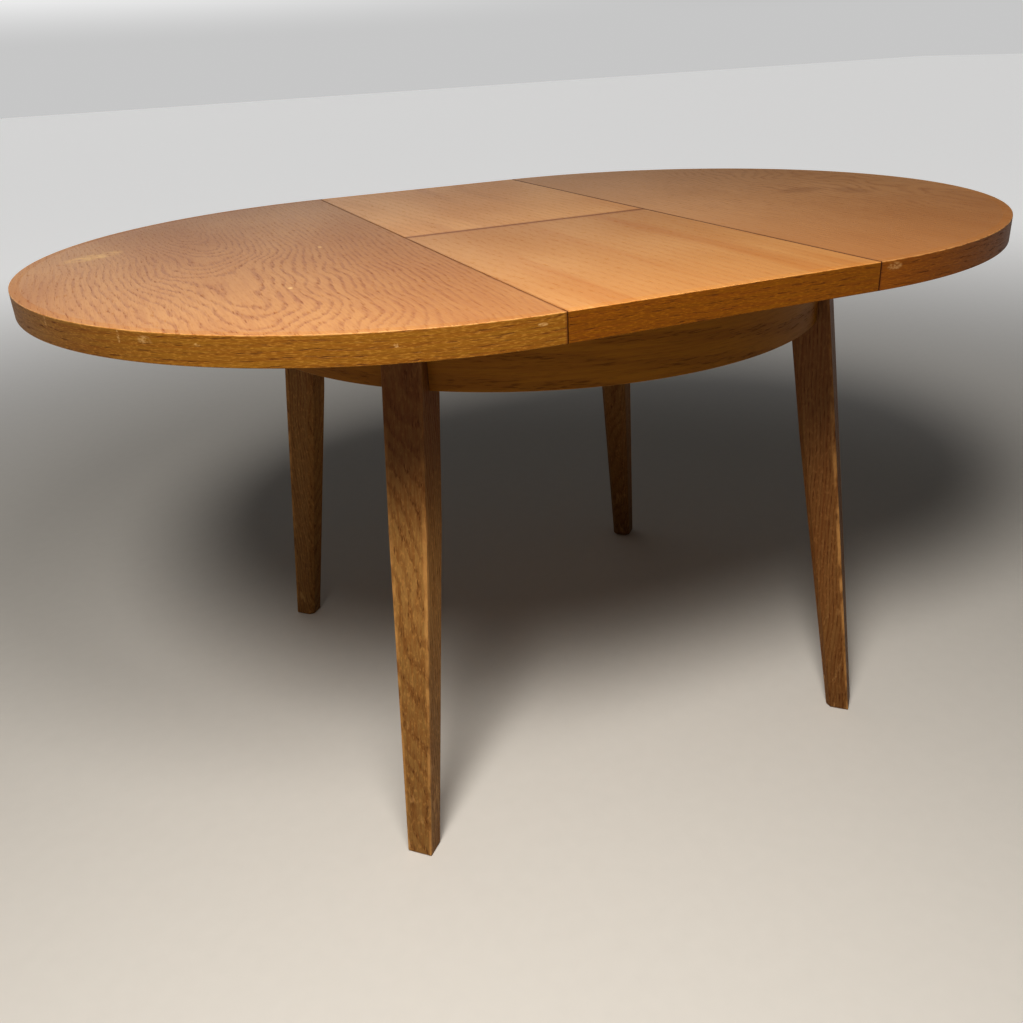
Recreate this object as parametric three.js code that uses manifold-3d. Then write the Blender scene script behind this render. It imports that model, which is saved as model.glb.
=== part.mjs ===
// Extending round dining table with a folding butterfly leaf, drawn open with the leaf in place.
// Millimetres, +Z up. The origin is on the floor under the middle of the table, +X runs along
// the long axis and -Y is the front. The two halves of the top draw outwards along X.
import * as THREE from "three";
import { mergeVertices } from "three/addons/utils/BufferGeometryUtils.js";
import Module from "manifold-3d";

const wasm = await Module();
wasm.setup();

// Overall sizes.
const HEIGHT = 740;
const END_RADIUS = 505;
const LEAF_LENGTH = 380;
const APRON_BOTTOM_DROP = 120;

// Clearances.
const GLUE_GAP = 0.3;
const SEAM_GAP = 1;
const FOLD_GAP = 0.8;
const SLIDE_GAP = 0.4;
const HOLE_GAP = 0.3;
const NOTCH_GAP = 0.5;
const LEG_GAP = 2.6;
const WELL_GAP = 1.6;
const UNDER_LIPPING_GAP = 2;

// Top: panels with a deeper solid lipping round the outside.
const PANEL_THICKNESS = 22;
const LIPPING_DEPTH = 32;
const LIPPING_THICKNESS = 12;

// Legs: a splayed outer face, a knee, and two chamfered inner corners.
const LEG_TOP_WIDTH = 52;
const LEG_TOP_DEPTH = 54.5;
const LEG_KNEE_WIDTH = 51;
const LEG_KNEE_DEPTH = 50;
const LEG_FOOT_WIDTH = 34.5;
const LEG_FOOT_DEPTH = 34;
const LEG_KNEE_HEIGHT = 450;
const LEG_CHAMFER = 7;
const LEG_SPLAY = 90;

// Aprons and corner blocks.
const APRON_THICKNESS = 22;
const LEG_PROUD = 6.5;
const BLOCK_DEPTH = 28;
const BLOCK_HALF_WIDTH = 62;
const BLOCK_HEIGHT = 52;

// Runners and the guide rails that carry them.
const RUNNER_WIDTH = 20;
const RUNNER_HEIGHT = 26;
const RUNNER_SETBACK = 38;
const RUNNER_INNER_END = 40;
const GUIDE_WEB = 10;
const GUIDE_TOP_DROP = 6;
const GUIDE_DROP = 7.7;
const TONGUE_HEIGHT = 4.6;
const TONGUE_DEPTH = 5;
const TONGUE_DROP = 13.4;
const RELEASE_TRAVEL = 30;
const GROOVE_END = 80;

// Battens under the stowed leaf.
const BEARER_WIDTH = 40;
const BEARER_THICKNESS = 18;
const BEARER_OFFSET = 150;
const STOW_HEADROOM = 15;

// Hanger bolts, nuts and runner screws.
const BOLT_DIAMETER = 8;
const BOLT_IN_LEG = 38;
const BOLT_PAST_NUT = 6;
const NUT_ACROSS_FLATS = 13;
const NUT_THICKNESS = 6.5;
const NUT_FLANGE_DIAMETER = 18;
const NUT_FLANGE_THICKNESS = 1.6;
const SCREW_DIAMETER = 4;
const SCREW_HEAD_DIAMETER = 8;
const SCREW_HEAD_HEIGHT = 2.4;
const SCREW_COUNTERBORE = 8;
const SCREW_IN_PANEL = 13;
const SCREW_SEAM_SETBACK = 60;
const SCREW_END_SETBACK = 35;

// Concealed barrel hinges between the two leaf pieces.
const BARREL_DIAMETER = 12;
const BARREL_LENGTH = 14;
const BARREL_OFFSET = 110;
const LINK_WIDTH = 3;
const LINK_HEIGHT = 6;
const LINK_REACH = 5;
const LINK_ROOT = 9;
const LINK_TOP_DROP = 7;

// Fineness of round shapes.
const ARC_STEPS = 36;
const APRON_STEPS = 18;
const ROUND_SIDES = 24;

// Levels.
const PANEL_UNDERSIDE = HEIGHT - PANEL_THICKNESS;
const LIPPING_UNDERSIDE = HEIGHT - LIPPING_DEPTH;
const FRAME_TOP = LIPPING_UNDERSIDE - UNDER_LIPPING_GAP;
const APRON_BOTTOM = HEIGHT - APRON_BOTTOM_DROP;
const RUNNER_TOP = PANEL_UNDERSIDE - GLUE_GAP;
const RUNNER_BOTTOM = RUNNER_TOP - RUNNER_HEIGHT;
const GUIDE_TOP = PANEL_UNDERSIDE - GUIDE_TOP_DROP;
const GUIDE_BOTTOM = RUNNER_BOTTOM - GUIDE_DROP;
const TONGUE_TOP = PANEL_UNDERSIDE - TONGUE_DROP;
const BLOCK_TOP = GUIDE_BOTTOM - GLUE_GAP;
const BOLT_LEVEL = BLOCK_TOP - BLOCK_HEIGHT / 2;
const STOWED_HEIGHT = 2 * LIPPING_DEPTH + FOLD_GAP;
const BEARER_TOP = PANEL_UNDERSIDE - STOWED_HEIGHT - STOW_HEADROOM;
const HINGE_LEVEL = HEIGHT - PANEL_THICKNESS / 2;

// Lanes, from the middle outwards: well, inner runner, guide web, outer runner, leg.
const WELL_HALF_WIDTH = LEAF_LENGTH / 2 + WELL_GAP;
const INNER_LANE = WELL_HALF_WIDTH + RUNNER_WIDTH / 2;
const GUIDE_LANE = WELL_HALF_WIDTH + RUNNER_WIDTH + SLIDE_GAP + GUIDE_WEB / 2;
const OUTER_LANE = GUIDE_LANE + GUIDE_WEB / 2 + SLIDE_GAP + RUNNER_WIDTH / 2;
const LEG_CORNER = OUTER_LANE + RUNNER_WIDTH / 2 + LEG_GAP;

// Radii from the table's middle.
const LEG_TOP_INNER = LEG_CORNER * Math.SQRT2 + LEG_TOP_WIDTH / 2 - LEG_CHAMFER;
const LEG_TOP_FACE = LEG_TOP_INNER + LEG_TOP_DEPTH;
const LEG_FOOT_FACE = LEG_TOP_FACE + LEG_SPLAY;
const APRON_RADIUS = LEG_TOP_FACE - LEG_PROUD;
const APRON_INNER = APRON_RADIUS - APRON_THICKNESS;
const FRAME_FIT_RADIUS = APRON_INNER - GLUE_GAP;
const BLOCK_FACE = LEG_TOP_INNER - BLOCK_DEPTH;

// Plan of a half top, whose straight edge stands half a seam off the leaf.
const ARC_CENTRE = LEAF_LENGTH / 2;
const LIPPING_INNER = END_RADIUS - LIPPING_THICKNESS;
const PANEL_RADIUS = LIPPING_INNER - GLUE_GAP;
const LEAF_HALF_LENGTH = LEAF_LENGTH / 2 - SEAM_GAP / 2;

const FINISH = {
  topVeneer: { color: 0xb87a4c, roughness: 0.38, metalness: 0 },
  leafVeneer: { color: 0xd0934f, roughness: 0.36, metalness: 0 },
  lipping: { color: 0x966024, roughness: 0.5, metalness: 0 },
  leg: { color: 0x6b431c, roughness: 0.48, metalness: 0 },
  apron: { color: 0x59370f, roughness: 0.5, metalness: 0 },
  beech: { color: 0xc19a68, roughness: 0.62, metalness: 0 },
  steel: { color: 0x9a9a98, roughness: 0.38, metalness: 0.9 },
  brass: { color: 0xb08d4a, roughness: 0.32, metalness: 0.95 },
};

function part(name, geometry, finish) {
  const mesh = new THREE.Mesh(geometry, new THREE.MeshStandardMaterial(finish));
  mesh.name = name;
  return mesh;
}

function solid(geometry) {
  const bare = geometry.clone();
  bare.deleteAttribute("normal");
  bare.deleteAttribute("uv");
  const merged = mergeVertices(bare);
  return new wasm.Manifold(new wasm.Mesh({
    numProp: 3,
    vertProperties: new Float32Array(merged.attributes.position.array),
    triVerts: new Uint32Array(merged.index.array),
  }));
}

function surface(body) {
  const mesh = body.getMesh();
  const geometry = new THREE.BufferGeometry();
  geometry.setAttribute("position", new THREE.BufferAttribute(mesh.vertProperties, 3));
  geometry.setIndex(new THREE.BufferAttribute(mesh.triVerts, 1));
  geometry.computeVertexNormals();
  return geometry;
}

function cut(base, tools) {
  const left = tools.reduce((body, tool) => body.subtract(solid(tool)), solid(base));
  return surface(left);
}

function join(pieces) {
  const whole = pieces.slice(1).reduce((body, piece) => body.add(solid(piece)), solid(pieces[0]));
  return surface(whole);
}

function trimToRing(base) {
  const core = new THREE.CylinderGeometry(FRAME_FIT_RADIUS, FRAME_FIT_RADIUS, 2 * HEIGHT, 4 * ROUND_SIDES);
  core.rotateX(Math.PI / 2);
  return surface(solid(base).intersect(solid(core)));
}

// A block between two opposite corners.
function block(low, high) {
  const size = high.map((value, axis) => value - low[axis]);
  const geometry = new THREE.BoxGeometry(...size);
  geometry.translate(...high.map((value, axis) => (value + low[axis]) / 2));
  return geometry;
}

function upright(shape, bottom, top, curveSegments) {
  const options = { depth: top - bottom, bevelEnabled: false, curveSegments };
  const geometry = new THREE.ExtrudeGeometry(shape, options);
  geometry.translate(0, 0, bottom);
  return geometry;
}

// Round bars: upright from a level, outwards along X, or along Y.
function uprightBar(diameter, x, y, bottom, top) {
  const geometry = new THREE.CylinderGeometry(diameter / 2, diameter / 2, top - bottom, ROUND_SIDES);
  geometry.rotateX(Math.PI / 2);
  geometry.translate(x, y, (top + bottom) / 2);
  return geometry;
}

function outwardBar(diameter, from, to, level) {
  const geometry = new THREE.CylinderGeometry(diameter / 2, diameter / 2, to - from, ROUND_SIDES);
  geometry.rotateZ(Math.PI / 2);
  geometry.translate((from + to) / 2, 0, level);
  return geometry;
}

function crossBar(diameter, x, from, to, level) {
  const geometry = new THREE.CylinderGeometry(diameter / 2, diameter / 2, to - from, ROUND_SIDES);
  geometry.translate(x, (from + to) / 2, level);
  return geometry;
}

// Half tops. The right half is drawn in place, and the left is the same half turned round.
function seamAngle(radius) {
  return Math.acos(SEAM_GAP / 2 / radius);
}

function halfPanel(screwPlaces) {
  const turn = seamAngle(PANEL_RADIUS);
  const outline = new THREE.Shape();
  outline.absarc(ARC_CENTRE, 0, PANEL_RADIUS, -turn, turn, false);
  outline.closePath();
  const pilot = SCREW_DIAMETER + 2 * HOLE_GAP;
  const depth = PANEL_UNDERSIDE + SCREW_IN_PANEL + HOLE_GAP;
  const holes = screwPlaces.map(([x, y]) => uprightBar(pilot, x, y, RUNNER_TOP, depth));
  return cut(upright(outline, PANEL_UNDERSIDE, HEIGHT, ARC_STEPS), holes);
}

function halfLipping() {
  const outerTurn = seamAngle(END_RADIUS);
  const innerTurn = seamAngle(LIPPING_INNER);
  const outline = new THREE.Shape();
  outline.absarc(ARC_CENTRE, 0, END_RADIUS, -outerTurn, outerTurn, false);
  outline.absarc(ARC_CENTRE, 0, LIPPING_INNER, innerTurn, -innerTurn, true);
  outline.closePath();
  return upright(outline, LIPPING_UNDERSIDE, HEIGHT, ARC_STEPS);
}

function runnerOuterEnd(lane) {
  const reach = LIPPING_INNER - RUNNER_SETBACK;
  const edge = Math.abs(lane) + RUNNER_WIDTH / 2;
  return ARC_CENTRE + Math.sqrt(reach * reach - edge * edge);
}

function screwPlacesOn(lane) {
  const seamEnd = ARC_CENTRE + SCREW_SEAM_SETBACK;
  const farEnd = runnerOuterEnd(lane) - SCREW_END_SETBACK;
  return [[seamEnd, lane], [farEnd, lane]];
}

// The groove faces the guide rail, and its blind end is the stop that limits the draw.
function runner(lane) {
  const outerEnd = runnerOuterEnd(lane);
  const low = [RUNNER_INNER_END, lane - RUNNER_WIDTH / 2, RUNNER_BOTTOM];
  const high = [outerEnd, lane + RUNNER_WIDTH / 2, RUNNER_TOP];
  const side = Math.sign(lane) * (Math.abs(lane) < GUIDE_LANE ? 1 : -1);
  const mouth = lane + side * (RUNNER_WIDTH / 2 + SLIDE_GAP);
  const back = mouth - side * (TONGUE_DEPTH + 2 * SLIDE_GAP);
  const groove = block(
    [GROOVE_END, Math.min(mouth, back), TONGUE_TOP - TONGUE_HEIGHT - SLIDE_GAP],
    [outerEnd + SLIDE_GAP, Math.max(mouth, back), TONGUE_TOP + SLIDE_GAP],
  );
  const shankHole = SCREW_DIAMETER + 2 * HOLE_GAP;
  const headHole = SCREW_HEAD_DIAMETER + 2 * HOLE_GAP;
  const headTop = RUNNER_BOTTOM + SCREW_COUNTERBORE + HOLE_GAP;
  const holes = screwPlacesOn(lane).flatMap(([x, y]) => [
    uprightBar(shankHole, x, y, RUNNER_BOTTOM - HOLE_GAP, RUNNER_TOP + HOLE_GAP),
    uprightBar(headHole, x, y, RUNNER_BOTTOM - HOLE_GAP, headTop),
  ]);
  return cut(block(low, high), [groove, ...holes]);
}

function runnerScrew() {
  const shank = SCREW_DIAMETER / 2;
  const head = SCREW_HEAD_DIAMETER / 2;
  const tip = PANEL_UNDERSIDE + SCREW_IN_PANEL;
  const shoulder = RUNNER_BOTTOM + SCREW_COUNTERBORE;
  const profile = [
    [0, shoulder - SCREW_HEAD_HEIGHT],
    [head, shoulder - SCREW_HEAD_HEIGHT],
    [head, shoulder],
    [shank, shoulder],
    [shank, tip - SCREW_DIAMETER],
    [0, tip],
  ];
  const points = profile.map(([radius, level]) => new THREE.Vector2(radius, level));
  const geometry = new THREE.LatheGeometry(points, ROUND_SIDES / 2);
  geometry.rotateX(Math.PI / 2);
  return geometry;
}

function halfTop(side) {
  const half = new THREE.Group();
  const ends = side === "right" ? ["back", "front"] : ["front", "back"];
  const lanes = [INNER_LANE, -OUTER_LANE];
  half.add(part(`${side}_top_panel`, halfPanel(lanes.flatMap(screwPlacesOn)), FINISH.topVeneer));
  half.add(part(`${side}_edge_lipping`, halfLipping(), FINISH.lipping));
  lanes.forEach((lane, index) => {
    half.add(part(`${side}_runner_${ends[index]}`, runner(lane), FINISH.beech));
    screwPlacesOn(lane).forEach(([x, y], place) => {
      const spot = ["seam", "end"][place];
      const screw = part(`${side}_${ends[index]}_${spot}_screw`, runnerScrew(), FINISH.steel);
      screw.position.set(x, y, 0);
      half.add(screw);
    });
  });
  half.rotation.z = side === "right" ? 0 : Math.PI;
  return half;
}

// Leaf. The back piece is drawn in place, and the front one is the same piece turned round.
function leafPanel() {
  const low = [-LEAF_HALF_LENGTH, FOLD_GAP / 2, PANEL_UNDERSIDE];
  const high = [LEAF_HALF_LENGTH, PANEL_RADIUS, HEIGHT];
  const bore = BARREL_DIAMETER + 2 * HOLE_GAP;
  const depth = FOLD_GAP / 2 + BARREL_LENGTH + HOLE_GAP;
  const sockets = [-BARREL_OFFSET, BARREL_OFFSET].map((x) => crossBar(bore, x, 0, depth, HINGE_LEVEL));
  return cut(block(low, high), sockets);
}

function leafLipping() {
  const low = [-LEAF_HALF_LENGTH, LIPPING_INNER, LIPPING_UNDERSIDE];
  const high = [LEAF_HALF_LENGTH, END_RADIUS, HEIGHT];
  return block(low, high);
}

// The link's slot is a little taller below, where the link swings as the front piece turns.
function hingeBarrel() {
  const from = FOLD_GAP / 2;
  const slotTop = HEIGHT - LINK_TOP_DROP + HOLE_GAP;
  const swing = Math.hypot(LINK_REACH, LINK_TOP_DROP + LINK_HEIGHT + FOLD_GAP / 2);
  const slotBottom = HEIGHT + FOLD_GAP / 2 - swing - HOLE_GAP;
  const slotHalf = LINK_WIDTH / 2 + HOLE_GAP;
  const slot = block([-slotHalf, 0, slotBottom], [slotHalf, LINK_ROOT + HOLE_GAP, slotTop]);
  return cut(crossBar(BARREL_DIAMETER, 0, from, from + BARREL_LENGTH, HINGE_LEVEL), [slot]);
}

function hingeLink() {
  const top = HEIGHT - LINK_TOP_DROP;
  return block([-LINK_WIDTH / 2, -LINK_REACH, top - LINK_HEIGHT], [LINK_WIDTH / 2, LINK_ROOT, top]);
}

function leafPiece(end) {
  const piece = new THREE.Group();
  piece.add(part(`leaf_${end}_panel`, leafPanel(), FINISH.leafVeneer));
  piece.add(part(`leaf_${end}_lipping`, leafLipping(), FINISH.lipping));
  const sides = end === "back" ? ["left", "right"] : ["right", "left"];
  sides.forEach((side, index) => {
    const barrel = part(`hinge_${side}_${end}_barrel`, hingeBarrel(), FINISH.brass);
    barrel.position.x = (2 * index - 1) * BARREL_OFFSET;
    piece.add(barrel);
  });
  piece.rotation.z = end === "back" ? 0 : Math.PI;
  return piece;
}

function leaf() {
  const group = new THREE.Group();
  group.add(leafPiece("back"), leafPiece("front"));
  ["left", "right"].forEach((side, index) => {
    const link = part(`hinge_${side}_link`, hingeLink(), FINISH.brass);
    link.position.x = (2 * index - 1) * BARREL_OFFSET;
    group.add(link);
  });
  return group;
}

// Leg corner, drawn along +X and turned to its diagonal.
function legStations() {
  return [
    { level: 0, width: LEG_FOOT_WIDTH, depth: LEG_FOOT_DEPTH },
    { level: LEG_KNEE_HEIGHT, width: LEG_KNEE_WIDTH, depth: LEG_KNEE_DEPTH },
    { level: FRAME_TOP, width: LEG_TOP_WIDTH, depth: LEG_TOP_DEPTH },
  ];
}

function legFace(level) {
  return LEG_FOOT_FACE + (LEG_TOP_FACE - LEG_FOOT_FACE) * (level / FRAME_TOP);
}

// A prism of the top section, then narrowed station by station with its chamfers kept.
function legBody(grow) {
  const half = LEG_TOP_WIDTH / 2 + grow;
  const inner = -LEG_TOP_DEPTH - grow;
  const outline = new THREE.Shape([
    new THREE.Vector2(0, -half),
    new THREE.Vector2(0, half),
    new THREE.Vector2(inner + LEG_CHAMFER, half),
    new THREE.Vector2(inner, half - LEG_CHAMFER),
    new THREE.Vector2(inner, LEG_CHAMFER - half),
    new THREE.Vector2(inner + LEG_CHAMFER, -half),
  ]);
  const stations = legStations();
  const spans = stations.length - 1;
  const options = { depth: spans, steps: spans, bevelEnabled: false };
  const geometry = new THREE.ExtrudeGeometry(outline, options);
  const spots = geometry.attributes.position;
  for (let index = 0; index < spots.count; index += 1) {
    const station = stations[Math.round(spots.getZ(index))];
    const inset = (LEG_TOP_WIDTH - station.width) / 2;
    const thinning = spots.getX(index) < 0 ? LEG_TOP_DEPTH - station.depth : 0;
    const across = spots.getY(index) - Math.sign(spots.getY(index)) * inset;
    const out = legFace(station.level) + spots.getX(index) + thinning;
    spots.setXYZ(index, out, across, station.level);
  }
  return geometry;
}

function legInnerFace(level) {
  const rise = (level - LEG_KNEE_HEIGHT) / (FRAME_TOP - LEG_KNEE_HEIGHT);
  return legFace(level) - LEG_KNEE_DEPTH - (LEG_TOP_DEPTH - LEG_KNEE_DEPTH) * rise;
}

function leg() {
  const end = legInnerFace(BOLT_LEVEL) + BOLT_IN_LEG + HOLE_GAP;
  const hole = outwardBar(BOLT_DIAMETER + 2 * HOLE_GAP, BLOCK_FACE, end, BOLT_LEVEL);
  return cut(legBody(0), [hole]);
}

function cornerBlock() {
  const turn = Math.asin(BLOCK_HALF_WIDTH / FRAME_FIT_RADIUS);
  const outline = new THREE.Shape();
  outline.absarc(0, 0, FRAME_FIT_RADIUS, -turn, turn, false);
  outline.lineTo(BLOCK_FACE, BLOCK_HALF_WIDTH);
  outline.lineTo(BLOCK_FACE, -BLOCK_HALF_WIDTH);
  outline.closePath();
  const body = upright(outline, BLOCK_TOP - BLOCK_HEIGHT, BLOCK_TOP, ROUND_SIDES);
  const hole = outwardBar(BOLT_DIAMETER + 2 * HOLE_GAP, BLOCK_FACE - HOLE_GAP, LEG_TOP_FACE, BOLT_LEVEL);
  return cut(body, [legBody(GLUE_GAP), hole]);
}

function nutFace() {
  return BLOCK_FACE - GLUE_GAP - NUT_THICKNESS;
}

function hangerBolt() {
  const tip = legInnerFace(BOLT_LEVEL) + BOLT_IN_LEG;
  return outwardBar(BOLT_DIAMETER, nutFace() - BOLT_PAST_NUT, tip, BOLT_LEVEL);
}

function hangerNut() {
  const cornerRadius = NUT_ACROSS_FLATS / Math.sqrt(3);
  const hex = new THREE.CylinderGeometry(cornerRadius, cornerRadius, NUT_THICKNESS, 6);
  hex.rotateZ(Math.PI / 2);
  hex.translate(nutFace() + NUT_THICKNESS / 2, 0, BOLT_LEVEL);
  const seat = nutFace() + NUT_THICKNESS;
  const flange = outwardBar(NUT_FLANGE_DIAMETER, seat - NUT_FLANGE_THICKNESS, seat, BOLT_LEVEL);
  const bore = outwardBar(BOLT_DIAMETER + 2 * HOLE_GAP, nutFace() - HOLE_GAP, BLOCK_FACE, BOLT_LEVEL);
  return cut(join([hex, flange]), [bore]);
}

function corner(name, turn) {
  const group = new THREE.Group();
  group.add(part(`leg_${name}`, leg(), FINISH.leg));
  group.add(part(`corner_block_${name}`, cornerBlock(), FINISH.beech));
  group.add(part(`hanger_bolt_${name}`, hangerBolt(), FINISH.steel));
  group.add(part(`hanger_nut_${name}`, hangerNut(), FINISH.steel));
  group.rotation.z = turn;
  return group;
}

// Aprons: quarter rings that butt against the sides of the legs.
function apronArc() {
  const side = LEG_TOP_WIDTH / 2 + GLUE_GAP;
  const outerTurn = Math.PI / 4 - Math.asin(side / APRON_RADIUS);
  const innerTurn = Math.PI / 4 - Math.asin(side / APRON_INNER);
  const outline = new THREE.Shape();
  outline.absarc(0, 0, APRON_RADIUS, -outerTurn, outerTurn, false);
  outline.absarc(0, 0, APRON_INNER, innerTurn, -innerTurn, true);
  outline.closePath();
  return upright(outline, APRON_BOTTOM, FRAME_TOP, APRON_STEPS);
}

// The end aprons are notched on top where the runners of the half above pass through.
function notchedApron() {
  const notches = [INNER_LANE, -OUTER_LANE].map((lane) => block(
    [0, lane - RUNNER_WIDTH / 2 - NOTCH_GAP, RUNNER_BOTTOM - NOTCH_GAP],
    [END_RADIUS, lane + RUNNER_WIDTH / 2 + NOTCH_GAP, HEIGHT],
  ));
  return cut(apronArc(), notches);
}

// Guide rail: a web with one tongue for each half's runner, the back rail drawn in place.
function guideRail() {
  const webLow = GUIDE_LANE - GUIDE_WEB / 2;
  const webHigh = GUIDE_LANE + GUIDE_WEB / 2;
  const tongueEnd = GROOVE_END + RELEASE_TRAVEL + SLIDE_GAP;
  const tongueBottom = TONGUE_TOP - TONGUE_HEIGHT;
  const rail = join([
    block([-APRON_RADIUS, webLow, GUIDE_BOTTOM], [APRON_RADIUS, webHigh, GUIDE_TOP]),
    block([tongueEnd, webLow - TONGUE_DEPTH, tongueBottom], [APRON_RADIUS, webHigh, TONGUE_TOP]),
    block([-APRON_RADIUS, webLow, tongueBottom], [-tongueEnd, webHigh + TONGUE_DEPTH, TONGUE_TOP]),
  ]);
  return trimToRing(rail);
}

function wellBearer() {
  const low = [BEARER_OFFSET - BEARER_WIDTH / 2, -APRON_RADIUS, BEARER_TOP - BEARER_THICKNESS];
  const high = [BEARER_OFFSET + BEARER_WIDTH / 2, APRON_RADIUS, BEARER_TOP];
  return trimToRing(block(low, high));
}

function turned(mesh, turn) {
  mesh.rotation.z = turn;
  return mesh;
}

function underframe() {
  const group = new THREE.Group();
  const quarter = Math.PI / 2;
  ["back_right", "back_left", "front_left", "front_right"].forEach((name, index) => {
    group.add(corner(name, (index + 0.5) * quarter));
  });
  group.add(part("apron_right", notchedApron(), FINISH.apron));
  group.add(turned(part("apron_back", apronArc(), FINISH.apron), quarter));
  group.add(turned(part("apron_left", notchedApron(), FINISH.apron), 2 * quarter));
  group.add(turned(part("apron_front", apronArc(), FINISH.apron), 3 * quarter));
  group.add(part("guide_rail_back", guideRail(), FINISH.beech));
  group.add(turned(part("guide_rail_front", guideRail(), FINISH.beech), 2 * quarter));
  group.add(part("well_bearer_right", wellBearer(), FINISH.beech));
  group.add(turned(part("well_bearer_left", wellBearer(), FINISH.beech), 2 * quarter));
  return group;
}

const table = new THREE.Group();
table.add(underframe(), halfTop("left"), halfTop("right"), leaf());

export default table;
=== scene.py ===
import math

import bmesh
import bpy
from mathutils import Matrix, Vector


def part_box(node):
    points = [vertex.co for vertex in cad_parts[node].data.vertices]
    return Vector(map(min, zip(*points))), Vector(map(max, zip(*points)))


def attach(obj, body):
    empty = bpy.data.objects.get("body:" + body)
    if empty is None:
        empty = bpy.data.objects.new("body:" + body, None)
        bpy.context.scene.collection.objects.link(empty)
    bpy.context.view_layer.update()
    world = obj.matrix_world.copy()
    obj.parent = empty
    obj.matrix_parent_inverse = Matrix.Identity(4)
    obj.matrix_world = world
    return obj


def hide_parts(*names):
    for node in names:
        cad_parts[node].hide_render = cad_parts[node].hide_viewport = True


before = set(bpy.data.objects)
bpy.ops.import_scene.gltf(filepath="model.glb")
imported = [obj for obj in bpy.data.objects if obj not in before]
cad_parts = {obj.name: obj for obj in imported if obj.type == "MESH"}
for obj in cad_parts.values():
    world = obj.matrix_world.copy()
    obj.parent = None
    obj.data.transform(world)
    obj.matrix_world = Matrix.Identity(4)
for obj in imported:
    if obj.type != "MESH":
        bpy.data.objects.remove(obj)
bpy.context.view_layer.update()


# Legs. Four solid oak legs, splayed and tapered, with the two inner corners planed off. Each is
# bored for the bolt that hangs it on the round frame, and is stained under a satin lacquer.
MM = 0.001


class Wire:
    """A shader socket that adds Math nodes when Python does sums with it."""

    def __init__(self, tree, socket):
        self.tree = tree
        self.socket = socket

    def node(self, kind, settings=(), inputs=(), output=0):
        """Any other node: its settings are made first, then its sockets are set or linked."""
        made = self.tree.nodes.new(kind)
        for name, value in dict(settings).items():
            setattr(made, name, value)
        for name, value in dict(inputs).items():
            if isinstance(value, Wire):
                self.tree.links.new(value.socket, made.inputs[name])
            else:
                made.inputs[name].default_value = value
        return Wire(self.tree, made.outputs[output] if len(made.outputs) else None)

    def math(self, operation, *values):
        return self.node("ShaderNodeMath", {"operation": operation}, dict(enumerate(values)))

    def axes(self):
        """The three coordinates of a point, each as a socket of its own."""
        kind = "ShaderNodeSeparateXYZ"
        return [self.node(kind, inputs={0: self}, output=axis) for axis in range(3)]

    def __add__(self, other):
        return self.math("ADD", self, other)

    def __radd__(self, other):
        return self.math("ADD", other, self)

    def __sub__(self, other):
        return self.math("SUBTRACT", self, other)

    def __rsub__(self, other):
        return self.math("SUBTRACT", other, self)

    def __mul__(self, other):
        return self.math("MULTIPLY", self, other)

    def __rmul__(self, other):
        return self.math("MULTIPLY", other, self)

    def __truediv__(self, other):
        return self.math("DIVIDE", self, other)

    def __pow__(self, other):
        return self.math("POWER", self, other)

    def ramp(self, low, high):
        """0 at low and 1 at high, with soft ends; low may be the larger."""
        settings = {"interpolation_type": "SMOOTHSTEP"}
        return self.node("ShaderNodeMapRange", settings, {0: self, 1: low, 2: high})

    def noise(self, x, y, z, detail=2.0, roughness=0.5):
        """Noise at a point whose coordinates are already in grains of the noise."""
        spot = self.node("ShaderNodeCombineXYZ", inputs={0: x, 1: y, 2: z})
        inputs = {"Vector": spot, "Scale": 1.0, "Detail": detail, "Roughness": roughness}
        return self.node("ShaderNodeTexNoise", inputs=inputs)

    def mark(self, other, centre, spread, edge=0.6):
        """1 inside an ellipse of two coordinates, fading to 0 at its rim."""
        flat = ((self - centre[0]) / spread[0]) ** 2 + ((other - centre[1]) / spread[1]) ** 2
        return flat.ramp(1.0, 1.0 - edge)

    def blend(self, low, high):
        """The colour low where this mask is 0, and high where it is 1."""
        settings = {"data_type": "RGBA"}
        return self.node("ShaderNodeMix", settings, {0: self, 6: low, 7: high}, output=2)


def display(red, green, blue):
    """A colour by its screen values of 0 to 255, in the linear values that shaders take."""
    linear = [((value / 255 + 0.055) / 1.055) ** 2.4 for value in (red, green, blue)]
    return (*linear, 1.0)


def new_material(name):
    """An empty material, and the three object coordinates of the shaded point, in metres."""
    material = bpy.data.materials.new(name)
    material.use_nodes = True
    tree = material.node_tree
    tree.nodes.clear()
    place = Wire(tree, None).node("ShaderNodeTexCoord", output="Object")
    return material, place.axes()


def finish_surface(
    material, colour, roughness, height, relief, shine=0.5, metallic=0.0, glow=None
):
    """Ends the material in a Principled shader, with the height as a fine bump."""
    bump_inputs = {"Strength": 1.0, "Distance": relief, "Height": height}
    bump = height.node("ShaderNodeBump", inputs=bump_inputs)
    inputs = {
        "Base Color": colour,
        "Roughness": roughness,
        "Metallic": metallic,
        "Normal": bump,
        "Specular IOR Level": shine,
    }
    if glow:
        inputs["Emission Color"] = glow
        inputs["Emission Strength"] = 1.0
    skin = height.node("ShaderNodeBsdfPrincipled", inputs=inputs)
    skin.node("ShaderNodeOutputMaterial", inputs={"Surface": skin})
    return material


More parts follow.
